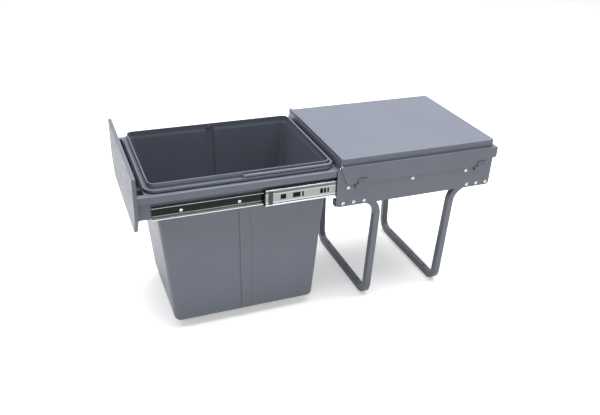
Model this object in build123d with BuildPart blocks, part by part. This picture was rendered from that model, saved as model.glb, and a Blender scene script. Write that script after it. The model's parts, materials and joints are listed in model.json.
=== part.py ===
from build123d import *

import os
from math import tan, radians

os.makedirs("parts", exist_ok=True)

# Pull out bin unit for a kitchen base cabinet, drawn with its drawer pulled right out.
# X runs across the unit, the drawer comes out towards -Y, and Z is up from the cabinet floor.
# The origin is the middle of the floor screw holes, on the underside of the legs.
# All sizes are in millimetres, and a "half" size is measured from the centre plane.

# ---- driving sizes: legs ----
tube = 17.0
tube_wall = 1.2
tube_corner = 3.0
foot_bend_radius = 30.0
top_bend_radius = 46.0
bend_straight = 2.0
kink_radius = 30.0
leg_height = 286.0
foot_clearance = 4.5
front_overhang = 111.0
rear_overhang = 102.0
floor_hole_radius = 2.75
floor_hole_half_span = 92.5
middle_hole_offset = 25.0
plug_flange = 1.4
plug_depth = 6.0
plug_clearance = 0.15

# ---- driving sizes: side plates ----
housing_width = 336.0
plate_thickness = 1.5
plate_height = 97.2
plate_corner = 6.0
plate_tail = 15.0

# ---- driving sizes: ball bearing slides ----
slide_length = 400.0
slide_setback = 1.0
slide_rise = 47.6
slide_depth = 12.7
slide_steel = 1.2
outer_half_height = 22.5
middle_half_height = 19.6
inner_half_height = 14.4
middle_web_gap = 2.4
trough_depth = 0.6
trough_mouth_half = 12.5
trough_floor_half = 8.8
inner_edge_gap = 1.9
lip_height = 1.4
travel = 403.0
middle_share = 0.387
closed_step = 14.0
outer_cage_length = 190.0
inner_cage_length = 130.0
inner_cage_nose = 4.0
cage_steel = 0.6
cage_gap = 0.3
ball_clearance = 0.1
ball_pitch = 20.0
ball_margin = 14.0
window_height = 12.0
windows = ((35.0, 13.0), (64.0, 18.0), (86.0, 4.0), (129.5, 7.0), (138.5, 5.5), (147.0, 4.0))
stop_length = 10.0
stop_half_height = 16.0
stop_inset = 7.0
stop_proud = 0.8
bumper_clearance = 0.5

# ---- driving sizes: drawer frame ----
frame_wall = 2.5
frame_front_margin = 28.6
frame_rear_margin = 24.0
frame_rise = 44.4
frame_lip_height = 15.5
frame_lip_clearance = 2.5
frame_side_gap = 0.3
frame_skirt = 58.0
seat_ledge = 4.0
front_slot = 14.4
front_beam_drop = 10.0
boss_radius = 4.5
boss_length = 5.0
slot_rib_pitch = 85.0
slot_rib_drop = 12.0
upstand_wall = 2.5
upstand_gap = 0.5
upstand_side_gap = 1.5

# ---- driving sizes: front panel ----
panel_width = 342.0
panel_height = 136.6
panel_below_frame = 90.0
panel_depth = 8.0
panel_face = 3.0
panel_flange = 2.5
panel_cut_width = 30.0
panel_cut_height = 42.0
panel_ribs = 5
panel_rib_thickness = 2.0
panel_boss_radius = 4.5
panel_screw_half_spans = (50.0, 120.0)
panel_screw_rise = 6.0

# ---- driving sizes: bin and its bail handle ----
bin_clearance = 3.0
bin_front_gap = 27.1
bin_rear_gap = 17.0
bin_wall = 2.4
bin_floor = 2.5
bin_rim_flare = 1.2
bin_rim_rise = 19.0
bin_floor_gap = 3.0
bin_side_taper = 12.0
bin_front_taper = 28.5
bin_front_knee = 13.5
bin_rear_taper = 20.0
bin_corner = 16.0
bin_bottom_edge = 14.0
flange_width = 9.0
flange_height = 7.5
flange_wall = 2.2
flange_lift = 1.8
flange_rib_thickness = 3.0
flange_rib_pitch = 90.0
seat_gap = 0.3
band_width = 24.0
band_relief = 2.0
bail_bar = 6.5
bail_round = 2.4
bail_clearance = 0.7
bail_corner = 16.0
pivot_radius = 2.0
pivot_clearance = 0.25
pivot_head_radius = 3.2
pivot_head_length = 1.6

# ---- driving sizes: lid ----
lid_wall = 2.5
lid_setback = 7.0
lid_tail = 8.0
lid_ledge = 7.0
lid_crown = 18.3
lid_skirt_gap = 0.5
lid_skirt_height = 43.7
lid_skirt_front_cut = 18.0
lid_skirt_front_shoulder = 5.0
lid_skirt_rear_cut = 24.0
lid_rear_height = 25.7
lid_corner = 8.0
lid_edge = 2.0
lid_lip_width = 5.0
lid_lip_rise = 3.6
lid_lip_side = 1.5

# ---- driving sizes: lid clips ----
clip_length = 24.0
clip_thickness = 5.5
clip_height = 13.0
clip_tab_length = 24.0
clip_tab_height = 12.0
clip_tab_thickness = 3.0
clip_shift = 6.0
clip_front_place = 45.0
clip_rear_margin = 50.0
clip_overlap = 1.5
clip_peg_length = 10.0
clip_peg_height = 4.0
clip_peg_clearance = 0.2

# ---- driving sizes: rivets and screws ----
rivet_head_radius = 4.2
rivet_head_height = 2.2
rivet_shank_radius = 2.0
rivet_clearance = 0.1
rivet_dimple_radius = 1.4
rivet_dimple_depth = 1.4
rivet_tail = 1.5
rivet_pitch = 27.0
front_rivet_margin = 18.0
rear_rivet_margin = 10.0
slide_rivet_front = 29.0
slide_rivet_middle = 196.0
slide_rivet_rear = 73.0
screw_head_radius = 3.8
screw_head_height = 2.2
screw_shank_radius = 1.7
screw_clearance = 0.15
screw_length = 8.0
screw_slot_length = 4.4
screw_slot_width = 0.9
screw_slot_depth = 1.0
slide_screw_front = 62.0
slide_screw_middle = 190.0
slide_screw_rear = 82.0

# ---- worked out: across the unit ----
plate_outer = housing_width / 2
plate_inner = plate_outer - plate_thickness
slide_inner = plate_inner - slide_depth
middle_web = plate_inner - middle_web_gap
inner_edge = middle_web - slide_steel - inner_edge_gap
web_outer = slide_inner - frame_side_gap
web_inner = web_outer - frame_wall
opening_half = web_inner - seat_ledge
bin_body_half = opening_half - bin_clearance
bin_bottom_half = bin_body_half - bin_side_taper
bin_rim_half = bin_body_half + bin_rim_flare
frame_lip_outer = plate_inner - frame_lip_clearance
flange_outer = bin_rim_half + flange_width
arm_centre = plate_inner - tube / 2
foot_half_span = bin_bottom_half + foot_clearance + tube / 2
skirt_outer = plate_outer + lid_skirt_gap + lid_wall
lid_top_half = skirt_outer - lid_ledge
upstand_half = lid_top_half - lid_wall - upstand_side_gap

# ---- worked out: along the unit ----
plate_length = slide_setback + slide_length + plate_tail
plate_front = -(front_overhang + (plate_length - front_overhang - rear_overhang) / 2)
plate_rear = plate_front + plate_length
front_leg_y = plate_front + front_overhang
rear_leg_y = plate_rear - rear_overhang
outer_front = plate_front + slide_setback
outer_rear = outer_front + slide_length
middle_front = outer_front - closed_step - middle_share * travel
inner_front = outer_front - closed_step - travel
inner_rear = inner_front + slide_length
frame_front = inner_front - frame_front_margin
frame_rear = inner_rear + frame_rear_margin
panel_front = frame_front - panel_depth
bin_front = frame_front + bin_front_gap
bin_rear = frame_rear - bin_rear_gap
bin_middle = (bin_front + bin_rear) / 2
lid_front = plate_front + lid_setback
lid_rear = plate_rear + lid_tail
crown_rear = plate_rear
slide_rivet_places = (slide_rivet_front, slide_rivet_middle, plate_length - slide_rivet_rear)
slide_screw_places = (slide_screw_front, slide_screw_middle, slide_length - slide_screw_rear)
clip_places = (clip_front_place, plate_length - clip_rear_margin)

# ---- worked out: heights ----
plate_top = leg_height + plate_height
slide_z = leg_height + slide_rise
frame_top = slide_z + frame_rise
frame_bottom = frame_top - frame_skirt
flange_bottom = frame_top + seat_gap
flange_top = flange_bottom + flange_height
bin_bottom = tube + bin_floor_gap
pivot_z = flange_top + seat_gap + bail_bar / 2
ledge_top = plate_top + lid_wall
crown_top = ledge_top + lid_crown
tube_z = leg_height + tube / 2
panel_bottom = frame_top - panel_below_frame
panel_screw_z = slide_z + panel_screw_rise
clip_seam = ledge_top - lid_skirt_height
upstand_top = crown_top - lid_wall - upstand_gap


def finish(part, name):
    part.label = name
    export_step(part, f"parts/{name}.step")


def facing(side, x, y, z):
    """A plane that looks out across the unit, on the left or the right."""
    return Plane(origin=(side * x, y, z), x_dir=(0, side, 0), z_dir=(side, 0, 0))


def side_name(side):
    return "right" if side > 0 else "left"


# ---- legs: one bent square tube each, four bends and two turned ends ----
def leg_rivet_places():
    first = plate_front + front_rivet_margin
    last = plate_rear - rear_rivet_margin
    front = [first + n * rivet_pitch for n in range(3)]
    rear = [last - n * rivet_pitch for n in range(3)]
    return front, rear


def leg_path(leg_y, end_y):
    kink_z = tube_z - top_bend_radius - bend_straight
    half = [
        (arm_centre, end_y, tube_z),
        (arm_centre, leg_y, tube_z),
        (arm_centre, leg_y, kink_z),
        (foot_half_span, leg_y, tube / 2),
    ]
    return half + [(-x, y, z) for x, y, z in reversed(half)]


def make_leg(name, leg_y, end_y, rivet_ys):
    points = leg_path(leg_y, end_y)
    radii = (top_bend_radius, kink_radius, foot_bend_radius)
    radii = radii + radii[::-1]
    end_plane = Plane(origin=points[0], x_dir=(1, 0, 0), z_dir=(0, leg_y - end_y, 0))
    with BuildPart() as leg:
        with BuildLine():
            FilletPolyline(*points, radius=radii)
        with BuildSketch(end_plane):
            RectangleRounded(tube, tube, tube_corner)
        sweep()
        with BuildLine():
            FilletPolyline(*points, radius=radii)
        with BuildSketch(end_plane):
            bore = tube - 2 * tube_wall
            RectangleRounded(bore, bore, tube_corner - tube_wall)
        sweep(mode=Mode.SUBTRACT)
        hole_xs = (-floor_hole_half_span, middle_hole_offset, floor_hole_half_span)
        with Locations(*[(x, leg_y, tube / 2) for x in hole_xs]):
            Cylinder(floor_hole_radius, 2 * tube, mode=Mode.SUBTRACT)
        for side in (-1, 1):
            for y in rivet_ys:
                with Locations(facing(side, plate_inner, y, tube_z)):
                    Cylinder(rivet_shank_radius + rivet_clearance, 3 * tube_wall, mode=Mode.SUBTRACT)
    finish(leg.part, name)


front_rivets, rear_rivets = leg_rivet_places()
make_leg("front_leg", front_leg_y, plate_front + plug_flange, front_rivets)
make_leg("rear_leg", rear_leg_y, plate_rear - plug_flange, rear_rivets)

# ---- plastic plugs in the four open tube ends ----
plug_side = tube - 2 * tube_wall - 2 * plug_clearance
with BuildPart() as tube_plugs:
    for end_y, inward in ((plate_front, 1), (plate_rear, -1)):
        for side in (-1, 1):
            mouth = Plane(origin=(side * arm_centre, end_y, tube_z), x_dir=(1, 0, 0), z_dir=(0, inward, 0))
            with BuildSketch(mouth):
                RectangleRounded(tube, tube, tube_corner)
            extrude(amount=plug_flange)
            with BuildSketch(mouth.offset(plug_flange)):
                RectangleRounded(plug_side, plug_side, tube_corner - tube_wall)
            extrude(amount=plug_depth)
finish(tube_plugs.part, "tube_plugs")


# ---- side plates ----
def clip_centre(place):
    """Middle of a clip's lower block, as Y and Z."""
    return plate_front + place + clip_length / 2, clip_seam + clip_overlap - clip_height / 2


def make_side_plate(side):
    with BuildPart() as plate:
        with BuildSketch(Plane(origin=(side * plate_inner, 0, 0), x_dir=(0, 1, 0), z_dir=(1, 0, 0))):
            with Locations(((plate_front + plate_rear) / 2, leg_height + plate_height / 2)):
                Rectangle(plate_length, plate_height)
            corners = vertices().group_by(Axis.Z)[0]
            chamfer(corners, length=plate_corner)
        extrude(amount=side * plate_thickness)
        for y in front_rivets + rear_rivets:
            with Locations(facing(side, plate_outer, y, tube_z)):
                Cylinder(rivet_shank_radius + rivet_clearance, 4 * plate_thickness, mode=Mode.SUBTRACT)
        for place in slide_rivet_places:
            with Locations(facing(side, plate_outer, plate_front + place, slide_z)):
                Cylinder(rivet_shank_radius + rivet_clearance, 4 * plate_thickness, mode=Mode.SUBTRACT)
        for place in clip_places:
            y, z = clip_centre(place)
            with Locations(facing(side, plate_outer, y, z)):
                Box(
                    clip_peg_length + 2 * clip_peg_clearance,
                    clip_peg_height + 2 * clip_peg_clearance,
                    4 * plate_thickness,
                    mode=Mode.SUBTRACT,
                )
    finish(plate.part, f"side_plate_{side_name(side)}")


# ---- blind rivets: a domed head outside, a hole up the middle, a shank through to the inside ----
def make_rivets(name, places, shank_end):
    with BuildPart() as rivet:
        with BuildSketch(Plane.XZ):
            with BuildLine():
                shank_length = plate_outer - shank_end
                Polyline(
                    (0, rivet_head_height - rivet_dimple_depth),
                    (0, -shank_length),
                    (rivet_shank_radius, -shank_length),
                    (rivet_shank_radius, 0),
                    (rivet_head_radius, 0),
                    (rivet_head_radius, rivet_head_height * 0.25),
                )
                ThreePointArc(
                    (rivet_head_radius, rivet_head_height * 0.25),
                    (rivet_head_radius * 0.72, rivet_head_height * 0.75),
                    (rivet_dimple_radius, rivet_head_height),
                )
                Polyline(
                    (rivet_dimple_radius, rivet_head_height),
                    (rivet_dimple_radius, rivet_head_height - rivet_dimple_depth),
                    (0, rivet_head_height - rivet_dimple_depth),
                )
            make_face()
        revolve(axis=Axis.Z)
    with BuildPart() as group:
        for side in (-1, 1):
            for y, z in places:
                with Locations(facing(side, plate_outer, y, z)):
                    add(rivet.part)
    finish(group.part, name)


make_rivets("leg_rivets", [(y, tube_z) for y in front_rivets + rear_rivets], plate_inner - tube_wall - rivet_tail)
make_rivets("slide_rivets", [(plate_front + p, slide_z) for p in slide_rivet_places], plate_inner - slide_steel)


# ---- slide members: folded steel channels, with the web on one side and turned lips on the other ----
def channel_sketch(side, web, edge, half_height, plane):
    """Section of one member: web is the |X| of its closed face, edge that of its open side."""
    inward = 1 if edge > web else -1
    with BuildSketch(plane) as section:
        with Locations((side * (web + edge) / 2, slide_z)):
            Rectangle(abs(web - edge), 2 * half_height)
        web_corners = section.vertices().sort_by(Axis.X)
        web_corners = web_corners[-2:] if side * (web - edge) > 0 else web_corners[:2]
        fillet(web_corners, radius=1.5 * slide_steel)
        hollow_start = web + inward * slide_steel
        hollow_end = edge - inward * slide_steel
        with Locations((side * (hollow_start + hollow_end) / 2, slide_z)):
            Rectangle(abs(hollow_start - hollow_end), 2 * (half_height - slide_steel), mode=Mode.SUBTRACT)
        with Locations((side * (hollow_start + edge) / 2, slide_z)):
            mouth = half_height - slide_steel - lip_height
            Rectangle(abs(hollow_start - edge), 2 * mouth, mode=Mode.SUBTRACT)
    return section.sketch


def trough_sketch(side, web, plane):
    """Section of the shallow trough that is pressed into the middle member's web."""
    with BuildSketch(plane) as trough:
        with BuildLine():
            Polyline(
                (side * web, slide_z - trough_mouth_half),
                (side * (web - trough_depth), slide_z - trough_floor_half),
                (side * (web - trough_depth), slide_z + trough_floor_half),
                (side * web, slide_z + trough_mouth_half),
                close=True,
            )
        make_face()
    return trough.sketch


def cut_web_holes(side, web, places, radius):
    for y in places:
        with Locations(facing(side, web, y, slide_z)):
            Cylinder(radius, 4 * slide_steel, mode=Mode.SUBTRACT)


def make_outer_slide(side):
    plane = Plane.XZ.offset(-outer_rear)
    section = channel_sketch(side, plate_inner, slide_inner + 1.6, outer_half_height, plane)
    with BuildPart() as member:
        extrude(section, amount=slide_length)
        places = [plate_front + place for place in slide_rivet_places]
        cut_web_holes(side, plate_inner, places, rivet_shank_radius + rivet_clearance)
    finish(member.part, f"outer_slide_{side_name(side)}")


def make_middle_slide(side):
    plane = Plane.XZ.offset(-(middle_front + slide_length))
    section = channel_sketch(side, middle_web, slide_inner + 2.0, middle_half_height, plane)
    with BuildPart() as member:
        extrude(section, amount=slide_length)
        extrude(trough_sketch(side, middle_web - slide_steel, plane), amount=slide_length)
        extrude(trough_sketch(side, middle_web, plane), amount=slide_length, mode=Mode.SUBTRACT)
        for offset, length in windows:
            for y in (middle_front + offset + length / 2, middle_front + slide_length - offset - length / 2):
                with Locations((side * middle_web, y, slide_z)):
                    Box(4 * slide_steel, length, window_height, mode=Mode.SUBTRACT)
        stop_y = middle_front + stop_inset + stop_length / 2
        with Locations((side * middle_web, stop_y, slide_z)):
            Box(4 * slide_steel, stop_length - 3, stop_half_height, mode=Mode.SUBTRACT)
    finish(member.part, f"middle_slide_{side_name(side)}")


def make_slide_stop(side):
    """Plastic stop clipped through the front of the middle member's web."""
    stop_y = middle_front + stop_inset + stop_length / 2
    with BuildPart() as stop:
        with Locations((side * (middle_web + stop_proud / 2), stop_y, slide_z)):
            Box(stop_proud, stop_length, 2 * stop_half_height)
        fillet(stop.edges().filter_by(Axis.X), radius=2)
        with Locations((side * (middle_web - slide_steel / 2), stop_y, slide_z)):
            Box(slide_steel, stop_length - 3.4, stop_half_height - 0.4)
    finish(stop.part, f"slide_stop_{side_name(side)}")


def make_inner_slide(side):
    section = channel_sketch(side, slide_inner, inner_edge, inner_half_height, Plane.XZ.offset(-inner_rear))
    with BuildPart() as member:
        extrude(section, amount=slide_length)
        places = [inner_front + place for place in slide_screw_places]
        cut_web_holes(side, slide_inner, places, screw_shank_radius + screw_clearance)
    finish(member.part, f"inner_slide_{side_name(side)}")


def make_bumper(side):
    """Rubber block at the back of the outer member, which the middle member closes on."""
    with BuildPart() as bumper:
        depth = middle_web_gap + slide_steel
        length = closed_step - bumper_clearance
        x = plate_inner - slide_steel - depth / 2
        with Locations((side * x, outer_rear - length / 2, slide_z)):
            Box(depth, length, 2 * middle_half_height - 4)
        fillet(bumper.edges().filter_by(Axis.X), radius=1)
    finish(bumper.part, f"slide_bumper_{side_name(side)}")


# ---- ball cages: thin channels that carry a row of balls above and below ----
def cage_rows(front, length):
    count = int((length - 2 * ball_margin) // ball_pitch) + 1
    start = front + (length - (count - 1) * ball_pitch) / 2
    return [start + n * ball_pitch for n in range(count)]


def make_cage(name, side, front, length, web, edge, outside, inside):
    """Outside and inside are the half heights of the two races that the balls run between."""
    ball_radius = (outside - inside) / 2 - ball_clearance
    row_height = (outside + inside) / 2
    row_x = edge + 0.45 * (web - edge)
    half = row_height + cage_steel / 2
    ys = cage_rows(front, length)
    rows = [(side * row_x, y, slide_z + way * row_height) for y in ys for way in (-1, 1)]
    with BuildPart() as cage:
        with BuildSketch(Plane.XZ.offset(-(front + length))):
            with Locations((side * (web + edge) / 2, slide_z)):
                Rectangle(web - edge, 2 * half)
            with Locations((side * (web - cage_steel + edge - 1) / 2, slide_z)):
                Rectangle(web - cage_steel - edge + 1, 2 * (half - cage_steel), mode=Mode.SUBTRACT)
        extrude(amount=length)
        with Locations(*rows):
            Cylinder(ball_radius + ball_clearance, 3 * cage_steel, mode=Mode.SUBTRACT)
    finish(cage.part, f"{name}_cage_{side_name(side)}")
    with BuildPart() as balls:
        with Locations(*rows):
            Sphere(ball_radius)
    finish(balls.part, f"{name}_balls_{side_name(side)}")


outer_cage_front = middle_front + slide_length - outer_cage_length - 12
inner_cage_front = middle_front - inner_cage_nose
outer_cage_web = plate_inner - slide_steel - cage_gap
inner_cage_web = middle_web - trough_depth - slide_steel - cage_gap


def make_cages(side):
    make_cage(
        "outer",
        side,
        outer_cage_front,
        outer_cage_length,
        outer_cage_web,
        slide_inner + 4.0,
        outer_half_height - slide_steel,
        middle_half_height,
    )
    make_cage(
        "inner",
        side,
        inner_cage_front,
        inner_cage_length,
        inner_cage_web,
        slide_inner + 3.6,
        middle_half_height - slide_steel,
        inner_half_height,
    )


for side in (-1, 1):
    make_side_plate(side)
    make_outer_slide(side)
    make_middle_slide(side)
    make_inner_slide(side)
    make_slide_stop(side)
    make_bumper(side)
    make_cages(side)


# ---- lid: a crowned cover with a ledge, side skirts, a back and a raised front lip ----
skirt_bottom = clip_seam
lid_length = lid_rear - lid_front
lid_middle = (lid_front + lid_rear) / 2
crown_length = crown_rear - lid_front
crown_middle = (lid_front + crown_rear) / 2

with BuildPart() as lid:
    with BuildSketch(Plane.XY.offset(skirt_bottom)):
        with Locations((0, lid_middle)):
            Rectangle(2 * skirt_outer, lid_length)
    extrude(amount=lid_skirt_height)
    with BuildSketch(Plane.XY.offset(ledge_top)):
        with Locations((0, crown_middle)):
            Rectangle(2 * lid_top_half, crown_length)
        fillet(vertices().group_by(Axis.Y)[-1], radius=lid_corner)
    extrude(amount=lid_crown)
    crown_edges = lid.faces().sort_by(Axis.Z)[-1].edges()
    fillet(crown_edges.sort_by(Axis.Y)[1:], radius=lid_edge)
    # the inside, open at the front and underneath
    with BuildSketch(Plane.XY.offset(skirt_bottom)):
        with Locations((0, lid_middle - lid_wall)):
            Rectangle(2 * (skirt_outer - lid_wall), lid_length)
    extrude(amount=lid_skirt_height - lid_wall, mode=Mode.SUBTRACT)
    with BuildSketch(Plane.XY.offset(skirt_bottom)):
        with Locations((0, crown_middle - lid_wall)):
            Rectangle(2 * (lid_top_half - lid_wall), crown_length)
        fillet(vertices().group_by(Axis.Y)[-1], radius=lid_corner - lid_wall)
    extrude(amount=lid_skirt_height + lid_crown - lid_wall, mode=Mode.SUBTRACT)
    # the skirts slope up at the front, and again behind the rear clips
    with BuildSketch(Plane.YZ.offset(-2 * skirt_outer)):
        with BuildLine():
            cut_top = ledge_top - lid_skirt_front_shoulder
            Polyline(
                (lid_front - 1, cut_top),
                (lid_front, cut_top),
                (lid_front + lid_skirt_front_cut, skirt_bottom),
                (lid_front + lid_skirt_front_cut, skirt_bottom - 1),
                (lid_front - 1, skirt_bottom - 1),
                close=True,
            )
        make_face()
        with BuildLine():
            rear_bottom = ledge_top - lid_rear_height
            Polyline(
                (lid_rear + 1, rear_bottom),
                (lid_rear - lid_wall - 4, rear_bottom),
                (lid_rear - lid_wall - 4 - lid_skirt_rear_cut, skirt_bottom),
                (lid_rear - lid_wall - 4 - lid_skirt_rear_cut, skirt_bottom - 1),
                (lid_rear + 1, skirt_bottom - 1),
                close=True,
            )
        make_face()
    extrude(amount=4 * skirt_outer, mode=Mode.SUBTRACT)
    # the lip round the front edge
    with BuildSketch(Plane.XZ.offset(-(lid_front + lid_lip_width))):
        with BuildLine():
            lip_half = lid_top_half + lid_lip_side
            lip_top = crown_top + lid_lip_rise
            Polyline(
                (-skirt_outer, ledge_top),
                (-lip_half, ledge_top + 4),
                (-lip_half, lip_top - 3),
                (-lip_half + 3, lip_top),
                (lip_half - 3, lip_top),
                (lip_half, lip_top - 3),
                (lip_half, ledge_top + 4),
                (skirt_outer, ledge_top),
                (lid_top_half - lid_wall, ledge_top),
                (lid_top_half - lid_wall, crown_top - lid_wall),
                (-lid_top_half + lid_wall, crown_top - lid_wall),
                (-lid_top_half + lid_wall, ledge_top),
                close=True,
            )
        make_face()
    extrude(amount=lid_lip_width)
finish(lid.part, "lid")


# ---- clips that hold the lid's skirts to the side plates ----
def make_clip(side, place, name):
    y, z = clip_centre(place)
    tab_z = z + clip_height / 2 + clip_tab_height / 2
    with BuildPart() as clip:
        with BuildSketch(facing(side, plate_outer, 0, 0)):
            with Locations((side * y, z - clip_overlap / 2)):
                RectangleRounded(clip_length, clip_height - clip_overlap, 2)
        extrude(amount=clip_thickness)
        with BuildSketch(facing(side, skirt_outer, 0, 0)):
            with Locations((side * (y + clip_shift), tab_z - clip_overlap)):
                RectangleRounded(clip_tab_length, clip_tab_height, 2)
            with Locations((side * (y + clip_shift / 2), z + clip_height / 2 - clip_overlap)):
                Rectangle(clip_length - clip_shift, clip_height / 2)
        extrude(amount=clip_tab_thickness)
        for step in (-1, 0, 1):
            with BuildSketch(facing(side, skirt_outer + clip_tab_thickness, 0, 0)):
                with Locations((side * (y + clip_shift + step * 6), tab_z - clip_overlap)):
                    Rectangle(2, clip_tab_height - 4)
            extrude(amount=0.8)
        with BuildSketch(facing(side, plate_inner, 0, 0)):
            with Locations((side * y, z)):
                Rectangle(clip_peg_length, clip_peg_height)
        extrude(amount=plate_thickness)
    finish(clip.part, f"lid_clip_{name}_{side_name(side)}")


for side in (-1, 1):
    make_clip(side, clip_places[0], "front")
    make_clip(side, clip_places[1], "rear")

# ---- drawer frame: a lipped ring that the bin hangs in, with deep side walls for the slides ----
frame_length = frame_rear - frame_front
frame_middle = (frame_front + frame_rear) / 2
opening_front = bin_front + bin_rim_flare - bin_clearance
opening_rear = bin_rear - bin_rim_flare + bin_clearance
beam_front = frame_front + frame_wall + front_slot
panel_screw_xs = [way * span for span in panel_screw_half_spans for way in (-1, 1)]

with BuildPart() as drawer_frame:
    # the outer lip and the top of the ring
    with BuildSketch(Plane.XY.offset(frame_top - frame_lip_height)):
        with Locations((0, frame_middle)):
            Rectangle(2 * frame_lip_outer, frame_length)
    extrude(amount=frame_lip_height)
    top_edges = drawer_frame.faces().sort_by(Axis.Z)[-1].edges().filter_by(Axis.Y)
    fillet(top_edges, radius=2.0)
    with BuildSketch(Plane.XY.offset(frame_top - frame_lip_height)):
        with Locations((0, frame_middle)):
            Rectangle(2 * (frame_lip_outer - frame_wall), frame_length - 2 * frame_wall)
    extrude(amount=frame_lip_height - frame_wall, mode=Mode.SUBTRACT)
    # the deep walls, set in behind the lip
    with BuildSketch(Plane.XY.offset(frame_bottom)):
        with Locations((0, frame_middle)):
            Rectangle(2 * web_outer, frame_length)
            Rectangle(2 * web_inner, frame_length - 2 * frame_wall, mode=Mode.SUBTRACT)
    extrude(amount=frame_skirt - frame_wall / 2)
    # the cross wall under the front of the bin's flange
    with BuildSketch(Plane.XY.offset(frame_bottom)):
        with Locations((0, beam_front + frame_wall / 2)):
            Rectangle(2 * web_inner + 1, frame_wall)
    extrude(amount=frame_skirt - frame_wall / 2)
    # the opening that the bin drops into
    with BuildSketch(Plane.XY.offset(frame_bottom)):
        with Locations((0, (opening_front + opening_rear) / 2)):
            RectangleRounded(2 * opening_half, opening_rear - opening_front, bin_corner)
    extrude(amount=frame_skirt + 1, mode=Mode.SUBTRACT)
    # the deep slot between the front wall and the cross wall, open at the top
    with BuildSketch(Plane.XY.offset(frame_bottom)):
        with Locations((0, frame_front + frame_wall + front_slot / 2)):
            Rectangle(2 * web_inner, front_slot)
    extrude(amount=frame_skirt + 1, mode=Mode.SUBTRACT)
    # the front wall is lower than the ring, between its corners
    with BuildSketch(Plane.XY.offset(frame_top - front_beam_drop)):
        with Locations((0, frame_front + (frame_wall + front_slot) / 2)):
            Rectangle(2 * opening_half, frame_wall + front_slot)
    extrude(amount=front_beam_drop + 1, mode=Mode.SUBTRACT)
    # ribs across the slot
    with BuildSketch(Plane.XY.offset(frame_bottom)):
        for x in (-slot_rib_pitch, 0, slot_rib_pitch):
            with Locations((x, frame_front + frame_wall + front_slot / 2)):
                Rectangle(frame_wall, front_slot + 0.2)
    extrude(amount=frame_skirt - front_beam_drop - slot_rib_drop)
    # bosses inside the side walls for the slide screws
    for side in (-1, 1):
        for place in slide_screw_places:
            base = facing(side, web_inner - boss_length, inner_front + place, slide_z)
            with BuildSketch(base):
                Circle(boss_radius)
            extrude(amount=boss_length + 0.1)
            with BuildSketch(base):
                Circle(screw_shank_radius + screw_clearance)
            extrude(amount=boss_length + frame_wall + 1, mode=Mode.SUBTRACT)
    # the wall that stands up behind the bin's rim and hides the inside of the housing
    with BuildSketch(Plane.XY.offset(frame_top - frame_wall / 2)):
        with Locations((0, frame_rear - upstand_wall / 2)):
            Rectangle(2 * upstand_half, upstand_wall)
    extrude(amount=upstand_top - frame_top + frame_wall / 2)
    # screw holes in the front wall
    for x in panel_screw_xs:
        with BuildSketch(Plane(origin=(x, frame_front - 1, panel_screw_z), x_dir=(1, 0, 0), z_dir=(0, 1, 0))):
            Circle(screw_shank_radius + screw_clearance)
        extrude(amount=frame_wall + 2, mode=Mode.SUBTRACT)
finish(drawer_frame.part, "drawer_frame")

# ---- front panel: a shallow moulded tray with its corners cut off at the bottom ----
panel_top = panel_bottom + panel_height
panel_half = panel_width / 2


def panel_outline(inset):
    """Corner points of the panel seen from the front, drawn in by inset."""
    half = [
        (panel_half - panel_cut_width - inset * 0.5, panel_bottom + inset),
        (panel_half - inset, panel_bottom + panel_cut_height + inset * 0.3),
        (panel_half - inset, panel_top - inset),
    ]
    return half + [(-x, z) for x, z in reversed(half)]


with BuildPart() as front_panel:
    with BuildSketch(Plane.XZ.offset(-frame_front)):
        with BuildLine():
            Polyline(*panel_outline(0), close=True)
        make_face()
    extrude(amount=panel_depth)
    face_edges = front_panel.faces().sort_by(Axis.Y)[0].edges()
    fillet(face_edges, radius=1.2)
    with BuildSketch(Plane.XZ.offset(-frame_front)):
        with BuildLine():
            Polyline(*panel_outline(panel_flange), close=True)
        make_face()
    extrude(amount=panel_depth - panel_face, mode=Mode.SUBTRACT)
    rib_pitch = (panel_width - 2 * panel_cut_width) / (panel_ribs - 1)
    with BuildSketch(Plane.XZ.offset(-(frame_front - 1))):
        for n in range(panel_ribs):
            rib_x = -panel_half + panel_cut_width + n * rib_pitch
            with Locations((rib_x, (panel_bottom + panel_top) / 2)):
                Rectangle(panel_rib_thickness, panel_height - 2)
        with Locations((0, frame_top + 12)):
            Rectangle(panel_width - 2, panel_rib_thickness)
        with Locations(*[(x, panel_screw_z) for x in panel_screw_xs]):
            Circle(panel_boss_radius)
    extrude(amount=panel_depth - panel_face - 1 + 0.2)
    with BuildSketch(Plane.XZ.offset(-frame_front)):
        with Locations(*[(x, panel_screw_z) for x in panel_screw_xs]):
            Circle(panel_boss_radius)
            Circle(screw_shank_radius + screw_clearance, mode=Mode.SUBTRACT)
    extrude(amount=panel_depth - panel_face + 0.2)
    with BuildSketch(Plane.XZ.offset(-frame_front)):
        with Locations(*[(x, panel_screw_z) for x in panel_screw_xs]):
            Circle(screw_shank_radius + screw_clearance)
    extrude(amount=panel_depth - panel_face / 2, mode=Mode.SUBTRACT)
finish(front_panel.part, "front_panel")

# ---- pan head screws: one drawn once, then set where each is driven ----
with BuildPart() as screw:
    with Locations((0, 0, screw_head_height / 2)):
        Cylinder(screw_head_radius, screw_head_height)
    fillet(screw.edges().sort_by(Axis.Z)[-1], radius=1.2)
    with Locations((0, 0, -screw_length / 2)):
        Cylinder(screw_shank_radius, screw_length)
    with Locations((0, 0, screw_head_height)):
        Box(screw_slot_length, screw_slot_width, 2 * screw_slot_depth, mode=Mode.SUBTRACT)
        Box(screw_slot_width, screw_slot_length, 2 * screw_slot_depth, mode=Mode.SUBTRACT)

with BuildPart() as slide_screws:
    for side in (-1, 1):
        for place in slide_screw_places:
            with Locations(facing(side, slide_inner + slide_steel, inner_front + place, slide_z)):
                add(screw.part)
finish(slide_screws.part, "slide_screws")

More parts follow.
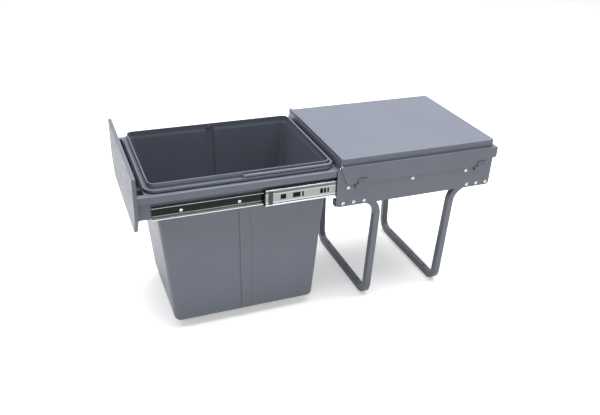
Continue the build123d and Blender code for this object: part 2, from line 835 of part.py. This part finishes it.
with BuildPart() as panel_screws:
    for x in panel_screw_xs:
        seat = Plane(origin=(x, frame_front + frame_wall, panel_screw_z), x_dir=(1, 0, 0), z_dir=(0, 1, 0))
        with Locations(seat):
            add(screw.part)
finish(panel_screws.part, "panel_screws")

# ---- bin: a tapered tub with a rolled flange, a rim above it and a band down each long side ----
rim_length = bin_rear - bin_front
body_front = bin_front + bin_rim_flare
body_rear = bin_rear - bin_rim_flare
knee_front = body_front + bin_front_knee
floor_front = knee_front + bin_front_taper
floor_rear = body_rear - bin_rear_taper
floor_middle = (floor_front + floor_rear) / 2


def bin_share(height):
    """How far up the taper a height is, from 0 at the floor to 1 under the flange."""
    return (height - bin_bottom) / (flange_bottom - bin_bottom)


def front_wall_place(height):
    """The front wall leans a little up to the frame's lower edge, then more up to the flange."""
    if height > frame_bottom:
        return body_front + bin_front_knee * (flange_bottom - height) / (flange_bottom - frame_bottom)
    return knee_front + bin_front_taper * (frame_bottom - height) / (frame_bottom - bin_bottom)


def tub_section(shrink, height):
    """The tapered body at one height, drawn in by shrink on every side."""
    share = bin_share(height)
    front = front_wall_place(height)
    rear = floor_rear + share * (body_rear - floor_rear)
    half = bin_bottom_half + share * (bin_body_half - bin_bottom_half)
    with BuildSketch(Plane.XY.offset(height)) as outline:
        with Locations((0, (front + rear) / 2)):
            RectangleRounded(2 * (half - shrink), rear - front - 2 * shrink, bin_corner - shrink)
    return outline.sketch


def band_section(shrink, height):
    """A slab right across the bin, which shows as a band on both long sides."""
    share = bin_share(height)
    middle = floor_middle + share * (bin_middle - floor_middle)
    half = bin_bottom_half + share * (bin_body_half - bin_bottom_half)
    with BuildSketch(Plane.XY.offset(height)) as outline:
        with Locations((0, middle)):
            Rectangle(2 * (half + band_relief - shrink), band_width - 2 * shrink)
    return outline.sketch


def rim_section(shrink, height):
    """The outline of the rim, drawn in by shrink on every side."""
    with BuildSketch(Plane.XY.offset(height)) as outline:
        with Locations((0, bin_middle)):
            RectangleRounded(2 * (bin_rim_half - shrink), rim_length - 2 * shrink, bin_corner - shrink)
    return outline.sketch


band_bottom = bin_bottom + bin_bottom_edge
with BuildPart() as bin_hollow:
    loft([tub_section(bin_wall, z) for z in (bin_bottom + bin_floor, frame_bottom, flange_bottom)], ruled=True)
    hollow_edges = bin_hollow.faces().sort_by(Axis.Z)[0].edges()
    fillet(hollow_edges, radius=bin_bottom_edge - bin_wall)
    loft([band_section(bin_wall, band_bottom + bin_wall), band_section(bin_wall, flange_bottom)])
    extrude(band_section(bin_wall, flange_bottom), amount=flange_height)
    # the inside slopes out from the body to the rim, then goes straight up
    loft([tub_section(bin_wall, flange_bottom), rim_section(bin_wall, flange_top)])
    extrude(rim_section(bin_wall, flange_top), amount=bin_rim_rise)

with BuildPart() as bin_tub:
    loft([tub_section(0, z) for z in (bin_bottom, frame_bottom, flange_bottom)], ruled=True)
    bottom_edges = bin_tub.faces().sort_by(Axis.Z)[0].edges()
    fillet(bottom_edges, radius=bin_bottom_edge)
    loft([band_section(0, band_bottom), band_section(0, flange_bottom)])
    # the rim stands on a flange that is turned down at its outer edge
    extrude(rim_section(0, flange_bottom), amount=bin_rim_rise)
    with BuildSketch(Plane.XY.offset(flange_bottom)):
        with Locations((0, bin_middle)):
            RectangleRounded(2 * flange_outer, rim_length + 2 * flange_width, bin_corner + flange_width)
    extrude(amount=flange_height)
    with BuildSketch(Plane.XY.offset(flange_bottom)):
        with Locations((0, bin_middle)):
            skirt = flange_width - flange_wall
            RectangleRounded(2 * (bin_rim_half + skirt), rim_length + 2 * skirt, bin_corner + skirt)
            RectangleRounded(2 * bin_rim_half, rim_length, bin_corner, mode=Mode.SUBTRACT)
    extrude(amount=flange_height - flange_wall, mode=Mode.SUBTRACT)
    # the flange's edge stands clear of the frame, and ribs behind it rest on the frame
    with BuildSketch(Plane.XY.offset(flange_bottom)):
        with Locations((0, bin_middle)):
            RectangleRounded(2 * flange_outer + 1, rim_length + 2 * flange_width + 1, bin_corner + flange_width)
            RectangleRounded(2 * (bin_rim_half + skirt), rim_length + 2 * skirt, bin_corner + skirt, mode=Mode.SUBTRACT)
    extrude(amount=flange_lift, mode=Mode.SUBTRACT)
    with BuildSketch(Plane.XY.offset(flange_bottom)):
        for step in (-1.5, -0.5, 0.5, 1.5):
            with Locations((0, bin_middle + step * flange_rib_pitch)):
                Rectangle(2 * (bin_rim_half + skirt) + 0.2, flange_rib_thickness)
        for step in (-1, 0, 1):
            with Locations((step * flange_rib_pitch, bin_middle)):
                Rectangle(flange_rib_thickness, rim_length + 2 * skirt + 0.2)
    extrude(amount=flange_height - flange_wall + 0.1)
    add(bin_hollow.part, mode=Mode.SUBTRACT)
    # the holes that the bail turns in
    for side in (-1, 1):
        with Locations(facing(side, bin_rim_half - bin_wall / 2, bin_middle, pivot_z)):
            Cylinder(pivot_radius + pivot_clearance, 3 * bin_wall, mode=Mode.SUBTRACT)
finish(bin_tub.part, "bin")

# ---- bail: a bar round the back half of the rim, with a pin at each end ----
bail_x = bin_rim_half + bail_clearance + bail_bar / 2
bail_rear = bin_rear + bail_clearance + bail_bar / 2
with BuildPart() as bail:
    with BuildLine():
        FilletPolyline(
            (bail_x, bin_middle, pivot_z),
            (bail_x, bail_rear, pivot_z),
            (-bail_x, bail_rear, pivot_z),
            (-bail_x, bin_middle, pivot_z),
            radius=bail_corner,
        )
    with BuildSketch(Plane(origin=(bail_x, bin_middle, pivot_z), x_dir=(1, 0, 0), z_dir=(0, 1, 0))):
        RectangleRounded(bail_bar, bail_bar, bail_round)
    sweep()
    for side in (-1, 1):
        with Locations(facing(side, bail_x, bin_middle, pivot_z)):
            Cylinder(bail_bar / 2, bail_bar)
        pin_plane = facing(side, bin_rim_half - bin_wall - pivot_clearance, bin_middle, pivot_z)
        with BuildSketch(pin_plane):
            Circle(pivot_radius)
        extrude(amount=bin_wall + pivot_clearance + bail_clearance + 1)
        with BuildSketch(pin_plane):
            Circle(pivot_head_radius)
        extrude(amount=-pivot_head_length)
finish(bail.part, "bail")
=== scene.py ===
import bpy
import json
import math
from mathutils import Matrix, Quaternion, Vector

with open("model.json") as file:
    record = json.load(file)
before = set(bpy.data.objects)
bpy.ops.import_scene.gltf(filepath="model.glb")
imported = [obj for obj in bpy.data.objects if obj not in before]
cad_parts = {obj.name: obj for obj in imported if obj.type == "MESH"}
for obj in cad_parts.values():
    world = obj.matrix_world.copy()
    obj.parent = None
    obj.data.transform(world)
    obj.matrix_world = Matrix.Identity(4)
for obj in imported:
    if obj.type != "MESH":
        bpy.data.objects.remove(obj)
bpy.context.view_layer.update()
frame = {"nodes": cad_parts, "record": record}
cadNodes = frame["nodes"]
print("frame loaded:", len(cadNodes), "nodes")

edgeSamples = 6
creviceSamples = 8


# Small helpers for node trees.
def startMaterial(name):
    material = bpy.data.materials.new(name)
    material.use_nodes = True
    tree = material.node_tree
    shader = next(n for n in tree.nodes if n.type == "BSDF_PRINCIPLED")
    return material, tree, shader


# An input is either a number or colour, or the socket of another node.
def addNode(tree, kind, inputs=None, **settings):
    node = tree.nodes.new(kind)
    for key, value in settings.items():
        setattr(node, key, value)
    for key, value in (inputs or {}).items():
        if isinstance(value, bpy.types.NodeSocket):
            tree.links.new(value, node.inputs[key])
        else:
            node.inputs[key].default_value = value
    return node


# Every node's object sits at the origin, so these are metres in the frame.
def objectPlace(tree, stretch=(1, 1, 1)):
    place = addNode(tree, "ShaderNodeTexCoord")
    mapping = addNode(tree, "ShaderNodeMapping", {"Vector": place.outputs["Object"], "Scale": stretch})
    return mapping.outputs["Vector"]


def noise(tree, place, scale, detail=2.0, rough=0.5):
    node = addNode(tree, "ShaderNodeTexNoise", {
        "Vector": place, "Scale": scale, "Detail": detail, "Roughness": rough})
    return node.outputs["Fac"]


def spread(tree, value, fromLow, fromHigh, toLow, toHigh):
    node = addNode(tree, "ShaderNodeMapRange", {
        "Value": value, "From Min": fromLow, "From Max": fromHigh, "To Min": toLow, "To Max": toHigh})
    return node.outputs["Result"]


def blendColours(tree, factor, first, second, mode="MIX"):
    node = addNode(tree, "ShaderNodeMix", data_type="RGBA", blend_type=mode)
    colourInputs = [s for s in node.inputs if s.type == "RGBA"]
    factorInput = next(s for s in node.inputs if s.type == "VALUE")
    for socket, value in ((factorInput, factor), (colourInputs[0], first), (colourInputs[1], second)):
        if isinstance(value, bpy.types.NodeSocket):
            tree.links.new(value, socket)
        elif socket.type == "RGBA":
            socket.default_value = (*value[:3], 1)
        else:
            socket.default_value = value
    return next(s for s in node.outputs if s.type == "RGBA")


def shade(colour, amount):
    return tuple(c * amount for c in colour)


# A noise blends two shades of the look's colour.
def shadeByNoise(tree, value, look):
    low, high = look["noiseSpan"]
    dark, light = look["shades"]
    blend = spread(tree, value, low, high, 0, 1)
    return blendColours(tree, blend, shade(look["colour"], dark), shade(look["colour"], light))


# A noise makes the surface smoother or duller than the look's roughness.
def roughenByNoise(tree, shader, value, look):
    low, high = look["roughSpan"]
    smoother, duller = look["roughShift"]
    rough = spread(tree, value, low, high, look["roughness"] + smoother, look["roughness"] + duller)
    tree.links.new(rough, shader.inputs["Roughness"])


def setStops(ramp, stops):
    ramp.elements.remove(ramp.elements[1])
    ramp.elements[0].position = stops[0][0]
    ramp.elements[0].color = (stops[0][1], stops[0][1], stops[0][1], 1)
    for position, tone in stops[1:]:
        ramp.elements.new(position).color = (tone, tone, tone, 1)


def softEdges(tree, shader, height, look):
    edge = addNode(tree, "ShaderNodeBevel", {"Radius": look["edge"]}, samples=edgeSamples)
    bump = addNode(tree, "ShaderNodeBump", {
        "Height": height, "Normal": edge.outputs["Normal"],
        "Strength": look["reliefStrength"], "Distance": look["reliefDepth"]})
    tree.links.new(bump.outputs["Normal"], shader.inputs["Normal"])


# Painted shade: an occlusion node darkens the base colour in crevices, slots and gaps between parts, where
# shade falls.
def paintCreviceShade(tree, colour, look):
    occlusion = addNode(
        tree, "ShaderNodeAmbientOcclusion", {"Distance": look["creviceReach"]}, samples=creviceSamples)
    level = spread(
        tree, occlusion.outputs["AO"], look["creviceLow"], look["creviceHigh"], look["creviceShadeTone"], 1)
    return blendColours(tree, 1.0, colour, level, "MULTIPLY")


# Painted crevice shade: only slots this deep are darkened, so open ledges keep their light.
creviceShadeLook = {"creviceReach": 0.016, "creviceLow": 0.05, "creviceHigh": 0.45, "creviceShadeTone": 0.15}

# Moulded plastic: a fine spark eroded grain, faint flow clouds, rubbed patches and painted shade in its
# crevices.
plasticLook = {
    **creviceShadeLook,
    "colour": (0.110, 0.123, 0.157), "shades": (0.95, 1.05),
    "cloudScale": 6.0, "cloudDetail": 3, "noiseSpan": (0.3, 0.7),
    "rubColour": (0.158, 0.171, 0.204), "rubAmount": 0.10, "rubScale": 22.0, "rubStretch": (1, 1, 2.5),
    "rubDetail": 6, "rubRough": 0.62, "rubSpan": (0.58, 0.78),
    "grainScale": 1500.0, "grainDetail": 2, "reliefStrength": 0.25, "reliefDepth": 0.00008,
    "roughness": 0.42, "roughSpan": (0.3, 0.75), "roughShift": (-0.05, 0.07), "ior": 1.5, "edge": 0.0009}


def mouldedPlastic(name, look):
    material, tree, shader = startMaterial(name)
    place = objectPlace(tree)
    clouds = noise(tree, place, look["cloudScale"], look["cloudDetail"])
    rubs = noise(
        tree, objectPlace(tree, look["rubStretch"]), look["rubScale"], look["rubDetail"], look["rubRough"])
    grain = noise(tree, place, look["grainScale"], look["grainDetail"])
    rubbed = spread(tree, rubs, *look["rubSpan"], 0, look["rubAmount"])
    worn = blendColours(tree, rubbed, shadeByNoise(tree, clouds, look), look["rubColour"])
    tree.links.new(paintCreviceShade(tree, worn, look), shader.inputs["Base Color"])
    roughenByNoise(tree, shader, rubs, look)
    shader.inputs["IOR"].default_value = look["ior"]
    softEdges(tree, shader, grain, look)
    return material


# Powder coated steel: orange peel, light specks and painted shade in its crevices, a little smoother than
# the plastic.
coatLook = {
    **creviceShadeLook,
    "colour": (0.109, 0.121, 0.152), "shades": (0.96, 1.04),
    "cloudScale": 7.0, "cloudDetail": 3, "noiseSpan": (0.3, 0.7),
    "speckColour": (0.19, 0.20, 0.225), "speckAmount": 0.3, "speckScale": 2600.0, "speckDetail": 1,
    "speckSpan": (0.66, 0.74),
    "peelScale": 700.0, "peelDetail": 3, "peelRough": 0.6, "reliefStrength": 0.3, "reliefDepth": 0.0001,
    "roughness": 0.38, "roughSpan": (0.3, 0.7), "roughShift": (-0.04, 0.06), "edge": 0.0006}


def powderCoat(name, look):
    material, tree, shader = startMaterial(name)
    place = objectPlace(tree)
    peel = noise(tree, place, look["peelScale"], look["peelDetail"], look["peelRough"])
    clouds = noise(tree, place, look["cloudScale"], look["cloudDetail"])
    specks = noise(tree, place, look["speckScale"], look["speckDetail"])
    speckled = spread(tree, specks, *look["speckSpan"], 0, look["speckAmount"])
    flecked = blendColours(tree, speckled, shadeByNoise(tree, clouds, look), look["speckColour"])
    tree.links.new(paintCreviceShade(tree, flecked, look), shader.inputs["Base Color"])
    roughenByNoise(tree, shader, peel, look)
    softEdges(tree, shader, peel, look)
    return material


# Zinc plated steel: lines drawn along the slide and a soft spangle, and in some looks painted bands of
# shade and painted crevice shade.
# Bands are (share of the height from bandLow to bandHigh, tone), from the bottom up; they paint the shade
# that falls in the slide's channel and grooves.
zincLook = {
    "colour": (0.62, 0.63, 0.65), "shades": (0.86, 1.0), "noiseSpan": (0.3, 0.7),
    "lineScale": 1200.0, "lineShare": 0.02, "lineDetail": 4, "lineRough": 0.6,
    "reliefStrength": 0.2, "reliefDepth": 0.00005,
    "spangleScale": 260.0, "spangleSpan": (0.1, 0.9), "spangleTones": (0.9, 1.05), "spangleBlend": 0.5,
    "roughness": 0.32, "roughSpan": (0.3, 0.7), "roughShift": (-0.06, 0.08), "edge": 0.0003}
# Painted shade on the inner slide: a grey band low down and a near-black band over its channel, where the
# channel lies in shade.
channelShadeZincLook = dict(
    zincLook, colour=(0.60, 0.64, 0.63), bandLow=0.3192, bandHigh=0.3480, shadeBands=[
        (0.0, 1.0), (0.05, 1.0), (0.065, 0.42), (0.26, 0.42), (0.275, 0.03), (0.955, 0.025), (0.97, 0.7)])
# Painted shade on the middle slide: dark lines and a grey band where its grooves and shoulders turn from
# the light, with lit strips left between.
grooveShadeZincLook = dict(
    zincLook, colour=(0.62, 0.66, 0.65), bandLow=0.3140, bandHigh=0.3532, shadeBands=[
        (0.0, 1.0), (0.11, 1.0), (0.13, 0.10), (0.165, 0.10), (0.19, 0.9), (0.25, 0.85), (0.27, 0.42),
        (0.72, 0.42), (0.75, 0.95), (0.775, 0.17), (0.94, 0.20), (0.965, 1.0)])
# Painted shade: the ball cages are near black, standing in for the shade inside the slides, and get
# painted crevice shade as well.
shadeBlackCageLook = dict(
    zincLook, colour=(0.014, 0.014, 0.015), roughness=0.5,
    creviceReach=0.012, creviceLow=0.1, creviceHigh=0.9, creviceShadeTone=0.1)
# Rivets get painted crevice shade in their dimples.
rivetLook = dict(
    zincLook, colour=(0.74, 0.74, 0.75), lineShare=1.0, roughness=0.26, edge=0.0004,
    creviceReach=0.004, creviceLow=0.3, creviceHigh=0.9, creviceShadeTone=0.05)
ballLook = dict(
    zincLook, colour=(0.75, 0.75, 0.76), lineShare=1.0, reliefStrength=0.02, roughness=0.14)


def zincSteel(name, look):
    material, tree, shader = startMaterial(name)
    drawn = noise(
        tree, objectPlace(tree, (1, look["lineShare"], 1)), look["lineScale"],
        look["lineDetail"], look["lineRough"])
    spangle = addNode(tree, "ShaderNodeTexVoronoi", {
        "Vector": objectPlace(tree), "Scale": look["spangleScale"]})
    toned = spread(tree, spangle.outputs["Distance"], *look["spangleSpan"], *look["spangleTones"])
    varied = blendColours(tree, look["spangleBlend"], shadeByNoise(tree, drawn, look), toned, "MULTIPLY")
    if "shadeBands" in look:
        heights = addNode(tree, "ShaderNodeSeparateXYZ", {"Vector": objectPlace(tree)})
        along = spread(tree, heights.outputs["Z"], look["bandLow"], look["bandHigh"], 0, 1)
        ramp = addNode(tree, "ShaderNodeValToRGB", {"Fac": along})
        setStops(ramp.color_ramp, look["shadeBands"])
        varied = blendColours(tree, 1.0, varied, ramp.outputs["Color"], "MULTIPLY")
    if "creviceReach" in look:
        varied = paintCreviceShade(tree, varied, look)
    tree.links.new(varied, shader.inputs["Base Color"])
    roughenByNoise(tree, shader, drawn, look)
    shader.inputs["Metallic"].default_value = 1.0
    softEdges(tree, shader, drawn, look)
    return material


# Black clip plastic and rubber: dull, with dust in the pores.
clipLook = {
    "colour": (0.022, 0.023, 0.026),
    "dustColour": (0.06, 0.06, 0.063), "dustAmount": 0.25, "dustScale": 60.0,
    "dustDetail": 5, "dustRough": 0.65, "dustSpan": (0.5, 0.8),
    "poreScale": 1600.0, "poreDetail": 3, "reliefStrength": 0.25, "reliefDepth": 0.00008,
    "roughness": 0.42, "roughSpan": (0.3, 0.7), "roughShift": (-0.05, 0.05), "edge": 0.0005}
rubberLook = dict(clipLook, colour=(0.03, 0.03, 0.032), roughness=0.7, reliefStrength=0.4)


def blackMoulding(name, look):
    material, tree, shader = startMaterial(name)
    place = objectPlace(tree)
    pores = noise(tree, place, look["poreScale"], look["poreDetail"])
    dust = noise(tree, place, look["dustScale"], look["dustDetail"], look["dustRough"])
    dusty = spread(tree, dust, *look["dustSpan"], 0, look["dustAmount"])
    tree.links.new(
        blendColours(tree, dusty, look["colour"], look["dustColour"]), shader.inputs["Base Color"])
    roughenByNoise(tree, shader, pores, look)
    softEdges(tree, shader, pores, look)
    return material


# One finish for each material slot of the record.
finishes = {
    "dark_plastic": mouldedPlastic("darkPlastic", plasticLook),
    "painted_steel": powderCoat("paintedSteel", coatLook),
    "zinc_steel": zincSteel("zincSteel", zincLook),
    "rivet_steel": zincSteel("rivetSteel", rivetLook),
    "ball_steel": zincSteel("ballSteel", ballLook),
    "clip_plastic": blackMoulding("clipPlastic", clipLook),
    "rubber": blackMoulding("bumperRubber", rubberLook),
}
# Looks with painted shade for the slides and their cages.
channelShadeTrack = zincSteel("channelShadeTrack", channelShadeZincLook)
grooveShadeTrack = zincSteel("grooveShadeTrack", grooveShadeZincLook)
shadeBlackCage = zincSteel("shadeBlackCage", shadeBlackCageLook)


def wear(node, material):
    slots = cadNodes[node].material_slots
    if not slots:
        cadNodes[node].data.materials.append(material)
    for materialSlot in slots:
        materialSlot.material = material


for entry in frame["record"]["subparts"]:
    wear(entry["node"], finishes[entry["material_slot"]])
# The slides and cages wear looks that paint shade into their channels, grooves and hollows.
for side in ("left", "right"):
    wear(f"inner_slide_{side}", channelShadeTrack)
    wear(f"middle_slide_{side}", grooveShadeTrack)
    wear(f"inner_cage_{side}", shadeBlackCage)
print("finishes on the frame's nodes")


# 1 for a ray straight from the camera or off something shiny, and 0 for the rest.
def seenDirectly(tree):
    rays = addNode(tree, "ShaderNodeLightPath")
    direct = addNode(tree, "ShaderNodeMath", {
        0: rays.outputs["Is Camera Ray"], 1: rays.outputs["Is Glossy Ray"]}, operation="MAXIMUM")
    return direct.outputs[0]


# A pale floor, lifted towards white where it is seen, with the shadows left on it.
floorLook = {
    "size": 60.0, "colour": (0.86, 0.86, 0.86), "roughness": 0.9, "specular": 0.1,
    "cameraLift": 0.42, "glow": (1.0, 1.0, 1.0)}


def layFloor(look):
    half = look["size"] / 2
    corners = [(-half, -half, 0), (half, -half, 0), (half, half, 0), (-half, half, 0)]
    mesh = bpy.data.meshes.new("floor")
    mesh.from_pydata(corners, [], [(0, 1, 2, 3)])
    floor = bpy.data.objects.new("floor", mesh)
    bpy.context.scene.collection.objects.link(floor)
    material, tree, shader = startMaterial("paleFloor")
    shader.inputs["Base Color"].default_value = (*look["colour"], 1)
    shader.inputs["Roughness"].default_value = look["roughness"]
    shader.inputs["Specular IOR Level"].default_value = look["specular"]
    glow = addNode(tree, "ShaderNodeEmission", {"Color": (*look["glow"], 1)})
    lift = addNode(
        tree, "ShaderNodeMath", {0: seenDirectly(tree), 1: look["cameraLift"]}, operation="MULTIPLY")
    tree.links.new(lift.outputs[0], glow.inputs["Strength"])
    both = addNode(tree, "ShaderNodeAddShader", {0: shader.outputs[0], 1: glow.outputs[0]})
    output = next(n for n in tree.nodes if n.type == "OUTPUT_MATERIAL")
    tree.links.new(both.outputs[0], output.inputs["Surface"])
    mesh.materials.append(material)


layFloor(floorLook)
print("floor laid")


# A pale room that is white where it is seen.
roomLook = {"ambient": 0.40, "background": 1.0}


def lightRoom(look):
    world = bpy.data.worlds.new("room")
    bpy.context.scene.world = world
    world.use_nodes = True
    tree = world.node_tree
    background = next(n for n in tree.nodes if n.type == "BACKGROUND")
    level = spread(tree, seenDirectly(tree), 0, 1, look["ambient"], look["background"])
    background.inputs["Color"].default_value = (1, 1, 1, 1)
    tree.links.new(level, background.inputs["Strength"])


# One broad lamp ahead of the front panel and one overhead.
lamps = {
    "frontLamp": {"place": (-0.3, -1.9, 2.9), "aim": (0, -0.4, 0.3), "size": 1.6, "power": 27.0},
    "topLamp": {"place": (-0.1, 0.2, 3.0), "aim": (0, -0.2, 0.3), "size": 2.6, "power": 155.0},
}


def lookFrom(look):
    return (Vector(look["aim"]) - Vector(look["place"])).to_track_quat("-Z", "Y")


def hangLamp(name, look):
    light = bpy.data.lights.new(name, "AREA")
    light.size = look["size"]
    light.energy = look["power"]
    lamp = bpy.data.objects.new(name, light)
    lamp.location = look["place"]
    lamp.rotation_euler = lookFrom(look).to_euler()
    bpy.context.scene.collection.objects.link(lamp)


lightRoom(roomLook)
for lampName, lampLook in lamps.items():
    hangLamp(lampName, lampLook)
print("room lit")


cameraLook = {
    "place": (1.4090, -0.8134, 1.0380), "aim": (0.1934, -0.3117, 0.3167),
    "roll": math.radians(2.35), "lens": 40.99, "sensor": 36.0, "farthest": 200}


def setCamera(look):
    data = bpy.data.cameras.new("camera")
    data.lens = look["lens"]
    data.sensor_width = look["sensor"]
    data.clip_end = look["farthest"]
    camera = bpy.data.objects.new("camera", data)
    camera.location = look["place"]
    camera.rotation_euler = (lookFrom(look) @ Quaternion((0, 0, 1), look["roll"])).to_euler()
    bpy.context.scene.collection.objects.link(camera)
    bpy.context.scene.camera = camera


setCamera(cameraLook)
bpy.context.scene.view_settings.view_transform = "Standard"
print("camera set")

print("scene ready")
